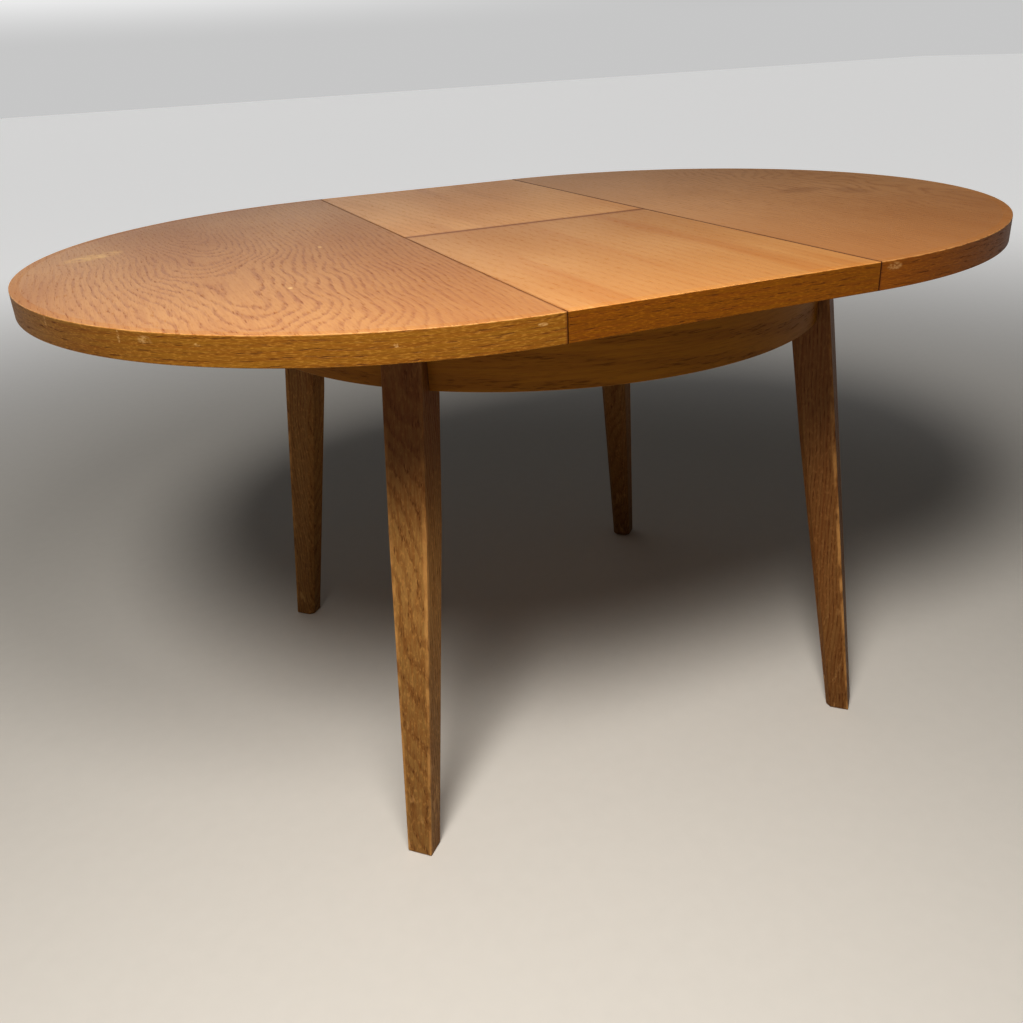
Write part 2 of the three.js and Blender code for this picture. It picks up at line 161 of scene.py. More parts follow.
def oak_figure(across, along, through, ring_gap, heart, depth, tilt, seed, waver=1.0, ragged=0.6):
    """Masks of one oak board: dark spring growth, pores, fibres and slow clouds.

    The rings are shells round a leaning pith, heart to the side of the board and depth below it.
    """
    drift = across.noise(across * 3.1, along * 1.1 + seed, through * 3.1) - 0.5
    lift = across.noise(across * 5 + seed, along * 4, through * 5) - 0.5
    side = across - heart + drift * (0.07 * waver)
    below = through + depth + along * tilt + lift * (0.085 * waver)
    radius = (side * side + below * below) ** 0.5
    teeth = across.noise(across * 210, along * 17, through * 210 + seed) - 0.5
    turns = radius / ring_gap + teeth * ragged
    ring = turns.math("FRACT", turns)
    spring = ring.ramp(0.4, 0.8) * ring.ramp(1.0, 0.88)
    vessels = across.noise(across * 700, along * 60, through * 700 + seed, detail=1.0)
    pores = vessels.ramp(0.54, 0.68) * (0.3 + 0.7 * spring)
    fibres = across.noise(across * 330, along * 9, through * 330 + seed, detail=3.0)
    clouds = across.noise(across * 6, along * 2.2, through * 6 + seed * 2)
    return spring, pores, fibres, clouds


def leg_frame(x, y, turn):
    """Outward and sideways coordinates of a leg that stands at this turn about the table."""
    out = x * math.cos(turn) + y * math.sin(turn)
    return out, y * math.cos(turn) - x * math.sin(turn)


def leg_finish(name, turn, seed, shade, foot, top):
    """foot and top are each (outer face radius, half width, level) of the leg."""
    dark = display(70, 27, 3)
    material, (x, y, z) = new_material(name)
    out, across = leg_frame(x, y, turn)
    spring, pores, fibres, clouds = oak_figure(
        across, z, out, 0.0052, 0.11, 0.06, 0.03, seed, waver=0.6
    )
    mottle = across.noise(across * 330 + seed, z * 130, out * 330)
    wood = clouds.ramp(0.3, 0.7).blend(display(131, 96, 50), display(150, 112, 62))
    wood = (fibres.ramp(0.35, 0.7) * 0.5).blend(wood, display(118, 70, 26))
    wood = (spring * 0.4).blend(wood, display(104, 60, 22))
    wood = (mottle.ramp(0.52, 0.68) * 0.3).blend(wood, display(186, 138, 78))
    wood = (pores * 0.7).blend(wood, display(74, 38, 12))
    lean = (top[0] - foot[0]) / (top[2] - foot[2])
    flare = (top[1] - foot[1]) / (top[2] - foot[2])
    near_face = (foot[0] - out) + z * lean
    near_side = (foot[1] - across.math("ABSOLUTE", across)) + z * flare
    rub = across.noise(across * 90, z * 34, out * 90 + seed, detail=4.0)
    worn = (near_face + near_side).ramp(0.0042, 0.0012) * rub.ramp(0.35, 0.6)
    worn = worn * (z.ramp(0.6, 0.35) * 0.75 + 0.25)
    # Painted shade: each leg is darkened by its own amount, and more towards its top, where the
    # table top shades it.
    wood = (z.ramp(0.4, 0.6) * (0.6 - shade) + shade).blend(wood, dark)
    wood = (worn * 0.5).blend(wood, display(190, 142, 84))
    knocks = rub.ramp(0.6, 0.72) * z.ramp(0.35, 0.0)
    wood = (knocks * 0.4).blend(wood, display(196, 152, 98))
    roughness = 0.46 + fibres * 0.12 + pores * 0.2
    height = fibres * 0.4 - pores - spring * 0.3
    return finish_surface(material, wood, roughness, height, 0.00022, shine=0.14)


def finished_shell(name, shell, sharp=40):
    """Turns a bmesh into an object, smooth but for the edges sharper than the given angle."""
    bmesh.ops.recalc_face_normals(shell, faces=shell.faces)
    for face in shell.faces:
        face.smooth = True
    for edge in shell.edges:
        edge.smooth = edge.calc_face_angle(0.0) < math.radians(sharp)
    mesh = bpy.data.meshes.new(name)
    shell.to_mesh(mesh)
    shell.free()
    piece = bpy.data.objects.new(name, mesh)
    bpy.context.scene.collection.objects.link(piece)
    weighted = piece.modifiers.new("flat faces", "WEIGHTED_NORMAL")
    weighted.keep_sharp = True
    return piece


def lofted(name, rows):
    """A closed body through rows of points, each row a closed outline."""
    shell = bmesh.new()
    rings = [[shell.verts.new(point) for point in row] for row in rows]
    for near, far in zip(rings, rings[1:]):
        for index in range(len(near)):
            after = (index + 1) % len(near)
            shell.faces.new((near[index], near[after], far[after], far[index]))
    shell.faces.new(rings[0])
    shell.faces.new(rings[-1])
    return finished_shell(name, shell)


def leg_sections(node):
    """The six corners of a CAD leg at its foot, its knee and its top, in order round it."""
    levels = {}
    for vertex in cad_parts[node].data.vertices:
        spot = (round(vertex.co.x, 5), round(vertex.co.y, 5))
        levels.setdefault(round(vertex.co.z, 4), set()).add(spot)
    sections = []
    for level, spots in sorted(levels.items()):
        if len(spots) == 6:
            corners = [Vector((*spot, level)) for spot in spots]
            middle = sum(corners, Vector()) / 6
            corners.sort(key=lambda spot: math.atan2(spot.y - middle.y, spot.x - middle.x))
            sections.append(corners)
    return sections


def rounded_section(corners, arris, shrink):
    """The outline with its corners rounded, drawn in towards its middle by the shrink."""
    middle = sum(corners, Vector()) / len(corners)
    outline = []
    for index, corner in enumerate(corners):
        before = (corners[index - 1] - corner).normalized() * arris
        after = (corners[(index + 1) % len(corners)] - corner).normalized() * arris
        for step in range(5):
            share = step / 4
            spot = corner + before * (1 - share) ** 2 + after * share**2
            inward = middle - spot
            outline.append(spot + inward.normalized() * min(shrink, inward.length))
    return outline


def leg_rows(sections, arris, foot_round):
    """Sections up the leg: a rounded foot, the taper to the knee, and the upper part."""
    foot, knee, top = sections
    rise = knee[0].z
    rows = []
    for step in range(6):
        turn = math.radians(18 * step)
        shrink = foot_round * (1 - math.sin(turn))
        share = foot_round * (1 - math.cos(turn)) / rise
        corners = [low.lerp(high, share) for low, high in zip(foot, knee)]
        rows.append(rounded_section(corners, arris, shrink))
    for step in range(1, 13):
        corners = [low.lerp(high, step / 12) for low, high in zip(foot, knee)]
        rows.append(rounded_section(corners, arris, 0.0))
    for step in range(1, 9):
        corners = [low.lerp(high, step / 8) for low, high in zip(knee, top)]
        rows.append(rounded_section(corners, arris, 0.0))
    return rows


def cut_away(piece, shell):
    """Cuts the closed body of a bmesh out of a piece for good."""
    mesh = bpy.data.meshes.new("cutter")
    shell.to_mesh(mesh)
    shell.free()
    cutter = bpy.data.objects.new("cutter", mesh)
    bpy.context.scene.collection.objects.link(cutter)
    cut = piece.modifiers.new("cut", "BOOLEAN")
    cut.operation = "DIFFERENCE"
    cut.object = cutter
    piece.modifiers.move(len(piece.modifiers) - 1, 0)
    with bpy.context.temp_override(object=piece):
        bpy.ops.object.modifier_apply(modifier=cut.name)
    bpy.data.objects.remove(cutter)


def bore(piece, start, end, diameter):
    """Bores a round hole through a piece along the line from start to end."""
    start, end = Vector(start), Vector(end)
    shell = bmesh.new()
    bmesh.ops.create_cone(
        shell,
        cap_ends=True,
        segments=32,
        radius1=diameter / 2,
        radius2=diameter / 2,
        depth=(end - start).length,
    )
    turn = Vector((0.0, 0.0, 1.0)).rotation_difference(end - start)
    bmesh.ops.rotate(shell, verts=shell.verts, cent=Vector(), matrix=turn.to_matrix())
    bmesh.ops.translate(shell, verts=shell.verts, vec=(start + end) / 2)
    cut_away(piece, shell)


def reach_of(node, turn):
    """Least and greatest distance of a CAD node out from the table's middle along a turn."""
    spots = [vertex.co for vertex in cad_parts[node].data.vertices]
    reaches = [leg_frame(spot.x, spot.y, turn)[0] for spot in spots]
    return min(reaches), max(reaches)


def along_turn(turn, reach, level):
    return Vector((reach * math.cos(turn), reach * math.sin(turn), level))


BOLT_DIAMETER = 8 * MM
HOLE_GAP = 0.3 * MM
LEG_ARRIS = 1.1 * MM
LEG_FOOT_ROUND = 3.2 * MM
LEG_TURNS = {"back_right": 45, "back_left": 135, "front_left": 225, "front_right": 315}
# Painted shade: how dark each leg is painted at its foot, before the extra darkening towards its
# top.
LEG_PAINTED_SHADE = {"back_right": 0.35, "back_left": 0.12, "front_left": 0.0, "front_right": 0.5}

for index, (corner, degrees) in enumerate(LEG_TURNS.items()):
    turn = math.radians(degrees)
    sections = leg_sections(f"leg_{corner}")
    leg = lofted(f"{corner}_leg", leg_rows(sections, LEG_ARRIS, LEG_FOOT_ROUND))
    limits = []
    for corners in (sections[0], sections[-1]):
        placed = [leg_frame(spot.x, spot.y, turn) for spot in corners]
        reach = max(out for out, across in placed)
        limits.append((reach, max(across for out, across in placed), corners[0].z))
    bolt_start, bolt_tip = reach_of(f"hanger_bolt_{corner}", turn)
    bolt_level = sum(end.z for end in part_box(f"hanger_bolt_{corner}")) / 2
    hole_start = along_turn(turn, bolt_start, bolt_level)
    hole_end = along_turn(turn, bolt_tip + HOLE_GAP, bolt_level)
    bore(leg, hole_start, hole_end, BOLT_DIAMETER + 2 * HOLE_GAP)
    finish = leg_finish(f"leg_oak_{corner}", turn, 3.7 * index, LEG_PAINTED_SHADE[corner], *limits)
    leg.data.materials.append(finish)
    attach(leg, "frame")
    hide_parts(f"leg_{corner}")


# Aprons. Four bent rails of veneered board make the round frame between the legs. The grain runs
# along each rail, the end pair is notched for the runners, and all are stained golden brown.
def rounded_profile(inner, outer, bottom, top, arris, inner_arris):
    """A closed (radius, level) outline of a rail's section, its four arrises rounded."""
    points = []
    corners = [
        (outer - arris, bottom + arris, arris, -90),
        (outer - arris, top - arris, arris, 0),
        (inner + inner_arris, top - inner_arris, inner_arris, 90),
        (inner + inner_arris, bottom + inner_arris, inner_arris, 180),
    ]
    for radius, level, ease, start in corners:
        for step in range(4):
            turn = math.radians(start + 30 * step)
            points.append((radius + ease * math.cos(turn), level + ease * math.sin(turn)))
    return points


def bent_rail(name, profile, half_turn, centre, facing, steps):
    """Sweeps a profile round an upright axis. half_turn gives each radius its own end angle."""
    rows = []
    for step in range(steps + 1):
        share = 2 * step / steps - 1
        row = []
        for radius, level in profile:
            turn = facing + share * half_turn(radius)
            row.append((centre + radius * math.cos(turn), radius * math.sin(turn), level))
        rows.append(row)
    return lofted(name, rows)


def arc_of(node, centre):
    """Inner and outer radius of a bent CAD node about an upright axis."""
    spots = [vertex.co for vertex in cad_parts[node].data.vertices]
    radii = [math.hypot(spot.x - centre, spot.y) for spot in spots]
    return min(radii), max(radii)


def apron_finish(name, seed):
    material, (x, y, z) = new_material(name)
    along = y.math("ARCTAN2", y, x) * 0.41 + seed
    out = (x * x + y * y) ** 0.5
    spring, pores, fibres, clouds = oak_figure(
        z, along, out, 0.006, 0.5, 0.09, 0.02, seed, waver=0.15
    )
    wood = clouds.ramp(0.3, 0.7).blend(display(126, 82, 13), display(142, 94, 17))
    wood = (fibres.ramp(0.35, 0.7) * 0.45).blend(wood, display(116, 68, 14))
    wood = (spring * 0.3).blend(wood, display(104, 60, 12))
    wood = (pores * 0.5).blend(wood, display(70, 36, 8))
    roughness = 0.4 + fibres * 0.12 + pores * 0.2
    height = fibres * 0.3 - pores - spring * 0.25
    return finish_surface(material, wood, roughness, height, 0.0002, shine=0.12)


def notch(piece, low, high):
    """Cuts a box between two corners out of a piece for good."""
    shell = bmesh.new()
    bmesh.ops.create_cube(shell, size=1.0)
    bmesh.ops.scale(shell, vec=high - low, verts=shell.verts)
    bmesh.ops.translate(shell, vec=(low + high) / 2, verts=shell.verts)
    cut_away(piece, shell)


APRON_TURNS = {"right": 0, "back": 90, "left": 180, "front": 270}
APRON_ARRIS = 1.2 * MM
APRON_STEPS = 72
NOTCH_GAP = 0.5 * MM

apron_inner, apron_outer = arc_of("apron_front", 0.0)
apron_low, apron_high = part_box("apron_front")
leg_side = apron_outer * math.sin(math.pi / 4 - math.asin(apron_high.x / apron_outer))

for index, (end, degrees) in enumerate(APRON_TURNS.items()):
    section = (apron_inner, apron_outer, apron_low.z, apron_high.z)
    apron = bent_rail(
        f"{end}_apron_rail",
        rounded_profile(*section, APRON_ARRIS, APRON_ARRIS),
        lambda radius: math.pi / 4 - math.asin(leg_side / radius),
        0.0,
        math.radians(degrees),
        APRON_STEPS,
    )
    if end in ("left", "right"):
        for runner in ("front", "back"):
            low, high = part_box(f"{end}_runner_{runner}")
            gap = Vector((0.0, NOTCH_GAP, NOTCH_GAP))
            notch(apron, low - gap, high + gap)
    apron.data.materials.append(apron_finish(f"apron_oak_{end}", 5.3 * index))
    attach(apron, "frame")
    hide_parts(f"apron_{end}")


# Hidden joinery. Beech corner blocks behind the legs, the guide rails on them, the battens under
# the stowed leaf, and the runners under the halves. All are planed and thinly oiled.
def beech_finish(name, along_axis, seed):
    """along_axis is the axis of the grain: 0 for x, 1 for y and 2 for z."""
    material, axes = new_material(name)
    along = axes[along_axis]
    across = axes[(along_axis + 1) % 3]
    through = axes[(along_axis + 2) % 3]
    rings = across.noise(across * 60, along * 1.5, through * 60 + seed)
    fibres = across.noise(across * 420, along * 12, through * 420 + seed, detail=3.0)
    dashes = across.noise(across * 700 + seed, along * 180, through * 700, detail=1.0)
    wood = rings.ramp(0.3, 0.7).blend(display(206, 168, 122), display(184, 142, 96))
    wood = (fibres.ramp(0.4, 0.7) * 0.4).blend(wood, display(164, 120, 78))
    wood = (dashes.ramp(0.62, 0.7) * 0.5).blend(wood, display(138, 92, 56))
    roughness = 0.58 + fibres * 0.14
    height = fibres * 0.5 - dashes.ramp(0.62, 0.7) * 0.5
    return finish_surface(material, wood, roughness, height, 0.0002)


def dress(node, material, arris):
    """Gives a CAD node its material, and rounds its arrises but keeps its flat faces flat."""
    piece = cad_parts[node]
    piece.data.materials.clear()
    piece.data.materials.append(material)
    bevel = piece.modifiers.new("arris", "BEVEL")
    bevel.width = arris
    bevel.segments = 2
    bevel.limit_method = "ANGLE"
    bevel.angle_limit = math.radians(28)
    bevel.harden_normals = True


runner_beech = beech_finish("runner_beech", 0, 1.0)
bearer_beech = beech_finish("bearer_beech", 1, 4.0)
block_beech = beech_finish("block_beech", 2, 8.0)
BLOCK_ARRIS = 1.0 * MM
RUNNER_ARRIS = 0.6 * MM
GUIDE_ARRIS = 0.4 * MM

for side in ("left", "right"):
    dress(f"well_bearer_{side}", bearer_beech, BLOCK_ARRIS)
    for end in ("front", "back"):
        dress(f"{side}_runner_{end}", runner_beech, RUNNER_ARRIS)
for end in ("front", "back"):
    dress(f"guide_rail_{end}", runner_beech, GUIDE_ARRIS)
for corner in LEG_TURNS:
    dress(f"corner_block_{corner}", block_beech, BLOCK_ARRIS)


# Metal. Zinc-plated hanger bolts, flange nuts and runner screws with their threads, and the brass
# barrels and links of the concealed hinges between the leaf pieces.
def metal_finish(name, clean, dull, rough, metallic):
    material, (x, y, z) = new_material(name)
    stain = x.noise(x * 160, y * 160, z * 160, detail=4.0, roughness=0.6)
    turning = x.noise(x * 2400, y * 2400, z * 2400, detail=1.0)
    colour = stain.ramp(0.42, 0.7).blend(clean, dull)
    roughness = rough + stain * 0.22 + turning * 0.06
    return finish_surface(material, colour, roughness, turning, 0.00003, metallic=metallic)


zinc = metal_finish("zinc_plate", display(196, 197, 192), display(142, 140, 132), 0.24, 0.9)
brass = metal_finish("hinge_brass", display(206, 168, 92), display(142, 108, 52), 0.22, 0.95)


def turned_bar(name, start, direction, stops, radius_at, sides=20):
    """A closed bar along a line. radius_at gives its radius by distance and angle."""
    direction = Vector(direction)
    side = direction.orthogonal().normalized()
    up = direction.cross(side)
    rows = []
    for distance in stops:
        row = []
        for step in range(sides):
            angle = math.tau * step / sides
            spoke = side * math.cos(angle) + up * math.sin(angle)
            row.append(start + direction * distance + spoke * radius_at(distance, angle))
        rows.append(row)
    return lofted(name, rows)


def thread_depth(distance, angle, low, high, pitch, depth):
    """How deep a V thread cuts at a point, running out at both of its ends."""
    phase = (distance / pitch - angle / math.tau) % 1.0
    run_out = min((distance - low) / pitch, (high - distance) / pitch, 1.0)
    return depth * abs(2 * phase - 1) * max(run_out, 0.0)


def thread_stops(low, high, pitch):
    """Distances along a thread, five to each turn of it."""
    count = round((high - low) / pitch * 5)
    return [low + (high - low) * step / count for step in range(count + 1)]


MACHINE_THREAD = 24 * MM
MACHINE_PITCH = 1.25 * MM
MACHINE_DEPTH = 0.65 * MM
WOOD_THREAD = 32 * MM
WOOD_PITCH = 3.2 * MM
WOOD_DEPTH = 1.1 * MM
BOLT_CHAMFER = 1.0 * MM
BOLT_TIP_RADIUS = 1.6 * MM
BOLT_CORE_RADIUS = 1.0 * MM
NUT_ACROSS_FLATS = 13 * MM
NUT_FLANGE = 1.6 * MM
NUT_FLANGE_RADIUS = 9 * MM
NUT_CONE_HEIGHT = 0.8 * MM
NUT_CONE_RADIUS = 7.8 * MM
NUT_RIM_ROUND = 0.3 * MM


def hanger_bolt(corner, turn, start, tip, level):
    """A rod with a machine thread for the nut, and a coarse wood thread down to its point."""
    length = tip - start
    machine = (0.8 * MM, MACHINE_THREAD, MACHINE_PITCH, MACHINE_DEPTH)
    wood = (length - WOOD_THREAD, length - 1.0 * MM, WOOD_PITCH, WOOD_DEPTH)

    def radius(distance, angle):
        chamfer = BOLT_DIAMETER / 2 - BOLT_CHAMFER + distance
        point = BOLT_TIP_RADIUS + (length - distance) * 0.8
        cuts = thread_depth(distance, angle, *machine) + thread_depth(distance, angle, *wood)
        return max(min(BOLT_DIAMETER / 2, chamfer, point) - cuts, BOLT_CORE_RADIUS)

    stops = [0.0, *thread_stops(*machine[:3]), *thread_stops(*wood[:3]), length]
    end_face = along_turn(turn, start, level)
    direction = along_turn(turn, 1.0, 0.0)
    return turned_bar(f"{corner}_hanger_bolt", end_face, direction, stops, radius)


def flange_nut(corner, turn, start, end, level):
    """A hexagon nut with a chamfered outer face, and a coned flange against the block."""
    thickness = end - start
    flange = thickness - NUT_FLANGE
    cone_start = flange - NUT_CONE_HEIGHT

    def radius(distance, angle):
        corner_turn = (angle + math.pi / 6) % (math.pi / 3) - math.pi / 6
        hexagon = NUT_ACROSS_FLATS / 2 / math.cos(corner_turn)
        chamfer = NUT_ACROSS_FLATS / 2 * 0.98 + distance * 1.7
        past = distance - cone_start
        cone = NUT_CONE_RADIUS + past * 0.7 if past > 0 else 0.0
        rim = NUT_FLANGE_RADIUS - max(distance - (thickness - NUT_RIM_ROUND), 0.0)
        return min(max(min(hexagon, chamfer), cone), rim)

    chamfer_stops = [0.0, 0.2 * MM, 0.4 * MM, 0.6 * MM, 0.9 * MM]
    cone_stops = [cone_start, cone_start + 0.1 * MM, flange, thickness - 0.9 * MM]
    stops = [*chamfer_stops, *cone_stops, thickness - NUT_RIM_ROUND, thickness]
    outer_face = along_turn(turn, start, level)
    direction = along_turn(turn, 1.0, 0.0)
    nut = turned_bar(f"{corner}_flange_nut", outer_face, direction, stops, radius, sides=48)
    hole_start = along_turn(turn, start - 1.0 * MM, level)
    hole_end = along_turn(turn, end + 1.0 * MM, level)
    bore(nut, hole_start, hole_end, BOLT_DIAMETER + 2 * HOLE_GAP)
    return nut


for corner, degrees in LEG_TURNS.items():
    turn = math.radians(degrees)
    level = sum(end.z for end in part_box(f"hanger_bolt_{corner}")) / 2
    bolt = hanger_bolt(corner, turn, *reach_of(f"hanger_bolt_{corner}", turn), level)
    nut = flange_nut(corner, turn, *reach_of(f"hanger_nut_{corner}", turn), level)
    for piece, node in ((bolt, f"hanger_bolt_{corner}"), (nut, f"hanger_nut_{corner}")):
        piece.data.materials.append(zinc)
        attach(piece, "frame")
        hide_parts(node)


SCREW_RADIUS = 2 * MM
SCREW_HEAD_RADIUS = 4 * MM
SCREW_HEAD_HEIGHT = 2.4 * MM
SCREW_CROWN_HEIGHT = 1.4 * MM
SCREW_PITCH = 1.8 * MM
SCREW_THREAD_DEPTH = 0.55 * MM
RECESS_WIDTH = 1.0 * MM
RECESS_REACH = 2.0 * MM
RECESS_DEPTH = 1.5 * MM


def runner_screw(name, low, high):
    """A pan-headed wood screw, driven upwards, with a cross recess in its head."""
    length = high.z - low.z
    thread = (length * 0.4, length - 1.2 * MM, SCREW_PITCH, SCREW_THREAD_DEPTH)

    def radius(distance, angle):
        if distance < SCREW_HEAD_HEIGHT:
            crown = min(distance / SCREW_CROWN_HEIGHT, 1.0)
            return SCREW_HEAD_RADIUS * (0.72 + 0.28 * math.sin(crown * math.pi / 2))
        point = min(SCREW_RADIUS, 0.3 * MM + (length - distance) * 0.5)
        return max(point - thread_depth(distance, angle, *thread), 0.2 * MM)

    crown_stops = [0.0, 0.3 * MM, 0.6 * MM, 1.0 * MM, SCREW_CROWN_HEIGHT]
    head_stops = [SCREW_HEAD_HEIGHT - 0.01 * MM, SCREW_HEAD_HEIGHT]
    stops = [*crown_stops, *head_stops, *thread_stops(*thread[:3]), length]
    middle = (low + high) / 2
    start = Vector((middle.x, middle.y, low.z))
    screw = turned_bar(name, start, (0.0, 0.0, 1.0), stops, radius)
    for reach in ((RECESS_REACH, RECESS_WIDTH / 2), (RECESS_WIDTH / 2, RECESS_REACH)):
        corner = Vector((*reach, RECESS_DEPTH))
        notch(screw, start - corner, start + corner)
    return screw


for side in ("left", "right"):
    for end in ("front", "back"):
        for spot in ("seam", "end"):
            node = f"{side}_{end}_{spot}_screw"
            screw = runner_screw(f"{side}_{end}_{spot}_wood_screw", *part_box(node))
            screw.data.materials.append(zinc)
            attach(screw, f"{side}_half")
            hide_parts(node)

HINGE_ARRIS = 0.2 * MM

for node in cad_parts:
    if node.startswith("hinge_"):
        dress(node, brass, HINGE_ARRIS)


# Top halves. Two half rounds of board under flat-cut oak veneer, with the grain running from
# front to back along the straight edge, reddish brown under a satin lacquer gone pale where worn.
TOP_FACE = 740 * MM
UNDERSIDE = 718 * MM


def backing_veneer(x, y, z, seed):
    """Colour of the plain veneer on the underside, which has had oil but no stain."""
    bands = x.noise(x * 30, y * 1.4, z + seed, detail=3.0)
    fibres = x.noise(x * 360, y * 8, z + seed)
    wood = bands.ramp(0.35, 0.65).blend(display(176, 140, 98), display(154, 116, 76))
    return (fibres.ramp(0.45, 0.7) * 0.5).blend(wood, display(124, 86, 52))


def half_veneer(side, x, y, z):
    """Colour, roughness and height of a half's face veneer."""
    heart, seed = {"left": (-0.455, 2.0), "right": (0.62, 11.0)}[side]
    pale = {"left": display(187, 133, 77), "right": display(205, 152, 100)}[side]
    deep = {"left": display(172, 117, 64), "right": display(172, 117, 66)}[side]
    depth, tilt = {"left": (0.075, -0.15), "right": (0.16, 0.1)}[side]
    ring_gap, strength = {"left": (0.0072, 1.0), "right": (0.0082, 0.6)}[side]
    spring, pores, fibres, clouds = oak_figure(
        x, y, z - TOP_FACE, ring_gap, heart, depth, tilt, seed, ragged=0.75
    )
    streaks = x.noise(x * 300, y * 26, z + seed).ramp(0.38, 0.6)
    bold = {"left": (-0.4, -0.12), "right": (0.5, 0.02)}[side]
    shown = (x.mark(y, bold, (0.34, 0.46), edge=1.0) * 0.7 + 0.3) * (streaks * 0.75 + 0.25)
    tone_and_painted_sheen = clouds.ramp(0.3, 0.7)
    # On the right half this adds painted sheen: the veneer is paler towards the back and deeper
    # towards the front. On both halves the clouds give a random tone.
    if side == "right":
        tone_and_painted_sheen = tone_and_painted_sheen * 0.25 + y.ramp(0.0, -0.42) * 0.75
    wood = tone_and_painted_sheen.blend(pale, deep)
    wood = (fibres.ramp(0.35, 0.7) * 0.3 * strength).blend(wood, display(150, 86, 42))
    wood = (spring * shown * 0.62 * strength).blend(wood, display(138, 76, 36))
    wood = (pores * shown * 0.5 * strength).blend(wood, display(112, 58, 26))
    roughness = 0.36 + clouds * 0.08 + pores * 0.2
    face = z.ramp(TOP_FACE - 2.0 * MM, TOP_FACE - 0.5 * MM)
    if side == "left":
        haze = x.noise(x * 70, y * 70, z + seed, detail=5.0, roughness=0.6).ramp(0.36, 0.62)
        patch = x.mark(y - x * 0.5, (-0.592, 0.441), (0.05, 0.03), edge=1.0) * haze
        flaw = x.mark(y, (-0.399, -0.23), (0.003, 0.005))
        flaw = flaw + x.mark(y, (-0.309, 0.009), (0.003, 0.006))
        bared = (patch + flaw) * face
        wood = (bared * 0.7).blend(wood, display(232, 196, 140))
        roughness = roughness + bared * 0.15
    else:
        smudge = x.mark(y, (0.479, -0.003), (0.05, 0.035), edge=0.9)
        smudge = smudge + x.mark(y, (0.535, -0.06), (0.03, 0.05), edge=0.9)
        wood = (smudge * face * 0.3).blend(wood, display(130, 76, 38))
    below = z.ramp(UNDERSIDE + 1.5 * MM, UNDERSIDE + 0.5 * MM)
    wood = below.blend(wood, backing_veneer(x, y, z, seed))
    height = fibres * 0.2 - pores - spring * 0.3
    return wood, roughness, height


def seam_dirt(wood, roughness, side, seam, x):
    """Darkens and dulls the wood along the straight edge, where polish and dirt have built up."""
    apart = (x - seam).math("ABSOLUTE", x - seam)
    strength = {"left": 0.4, "right": 0.3}[side]
    wood = (apart.ramp(0.0036, 0.0014) * strength).blend(wood, display(84, 40, 14))
    wood = (apart.ramp(0.0012, 0.0004) * 0.9).blend(wood, display(52, 24, 8))
    return wood, roughness + apart.ramp(0.002, 0.0006) * 0.5


def half_finish(side, seam):
    material, (x, y, z) = new_material(f"{side}_half_veneer")
    wood, roughness, height = half_veneer(side, x, y, z)
    wood, roughness = seam_dirt(wood, roughness, side, seam, x)
    return finish_surface(material, wood, roughness, height, 0.0002, shine=0.55)


GLUE_LINE = 0.02 * MM
BOARD_ARRIS = 0.5 * MM
CURVE_STEPS = 160


def half_outline(seam, centre, radius, inset):
    """The half round, its straight seam edge drawn in by the inset."""
    edge = abs(seam - centre) + inset
    turn = math.acos(edge / radius)
    away = math.copysign(1.0, centre)
    spots = []
    for step in range(CURVE_STEPS + 1):
        angle = turn * (2 * step / CURVE_STEPS - 1)
        spots.append((centre + away * radius * math.cos(angle), radius * math.sin(angle)))
    return spots


def slab(name, outline, bottom, top, arris):
    """A panel from an outline function of the inset, with its top and bottom arrises eased."""
    levels = [
        (arris, bottom),
        (0.3 * arris, bottom + 0.3 * arris),
        (0.0, bottom + arris),
        (0.0, top - arris),
        (0.3 * arris, top - 0.3 * arris),
        (arris, top),
    ]
    return lofted(name, [[(*spot, level) for spot in outline(inset)] for inset, level in levels])


for side in ("left", "right"):
    low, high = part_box(f"{side}_top_panel")
    far, seam = (high.x, low.x) if side == "right" else (low.x, high.x)
    centre = far - math.copysign(high.y, far)
    radius = arc_of(f"{side}_edge_lipping", centre)[0] - GLUE_LINE
    panel = slab(
        f"{side}_half_top",
        lambda inset: half_outline(seam, centre, radius, inset),
        low.z,
        high.z,
        BOARD_ARRIS,
    )
    for end in ("front", "back"):
        for spot in ("seam", "end"):
            tail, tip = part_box(f"{side}_{end}_{spot}_screw")
            middle = (tail + tip) / 2
            hole_start = (middle.x, middle.y, low.z - 1.0 * MM)
            hole_end = (middle.x, middle.y, tip.z + HOLE_GAP)
            bore(panel, hole_start, hole_end, 2 * (SCREW_RADIUS + HOLE_GAP))
    panel.data.materials.append(half_finish(side, seam))
    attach(panel, f"{side}_half")
    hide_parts(f"{side}_top_panel")


# Edge lippings of the halves. Solid oak strips deeper than the boards, bent and glued round the
# outside before veneering, so the face veneer runs over them. The grain runs along the strip.
def lipping_wood(across, along, through, seed, pale, deep, light):
    """Colour, roughness and height of the strip's golden brown edge."""
    spring, pores, fibres, clouds = oak_figure(
        across, along, through, 0.0046, 0.3, 0.05, 0.02, seed, waver=0.2
    )
    dashes = across.noise(across * 900, along * 160, through * 900 + seed)
    wood = clouds.ramp(0.3, 0.7).blend(deep, pale)
    wood = (fibres.ramp(0.35, 0.7) * 0.4).blend(wood, display(112, 60, 8))
    wood = (spring * 0.25).blend(wood, display(100, 52, 8))
    wood = (dashes.ramp(0.5, 0.66) * 0.34).blend(wood, light)
    wood = (pores * 0.6).blend(wood, display(70, 34, 6))
    roughness = 0.44 + fibres * 0.14 + pores * 0.15
    height = fibres * 0.4 + dashes * 0.4 - pores - spring * 0.3
    return wood, roughness, height


